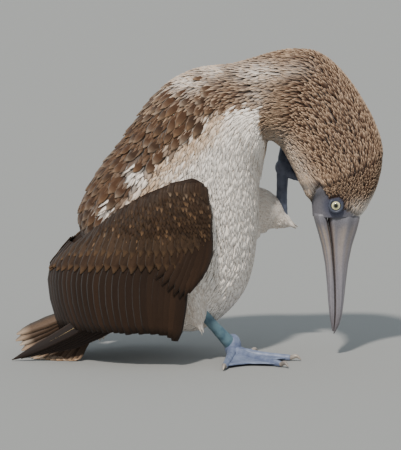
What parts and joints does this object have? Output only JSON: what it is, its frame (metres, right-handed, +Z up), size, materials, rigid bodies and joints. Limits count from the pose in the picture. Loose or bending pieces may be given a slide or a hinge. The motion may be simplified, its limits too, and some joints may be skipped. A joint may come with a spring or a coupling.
{
  "type": "blue footed booby",
  "caption": "Life size blue footed booby standing on one webbed foot, neck arched down, the other foot raised to scratch its throat.",
  "frame": {"origin": "on the floor under the toe joint of the standing foot", "axes": "+X the way the bird faces, +Y the bird's left, +Z up"},
  "size_m": [0.3703, 0.1922, 0.3087],
  "materials": {
    "eye": "gloss",
    "bill": "satin",
    "claw": "satin",
    "foot_skin": "satin",
    "streaked_plumage": "matte",
    "brown_plumage": "matte",
    "pale_plumage": "matte"
  },
  "bodies": {
    "root": {"eye_right": "eye", "eye_left": "eye", "torso": "pale_plumage", "neck": "streaked_plumage", "head": "streaked_plumage", "bill_upper": "bill", "bill_lower": "bill", "flight_right": "brown_plumage", "wing_right": "brown_plumage", "flight_left": "brown_plumage", "wing_left": "brown_plumage", "tail": "brown_plumage", "shank_right": "foot_skin", "shank_left": "foot_skin", "thigh_right": "pale_plumage", "thigh_left": "pale_plumage", "claw_right_outer": "claw", "claw_right_middle": "claw", "claw_right_inner": "claw", "claw_right_hallux": "claw", "foot_right": "foot_skin", "claw_left_outer": "claw", "claw_left_middle": "claw", "claw_left_inner": "claw", "claw_left_hallux": "claw", "foot_left": "foot_skin"}
  },
  "joints": []
}
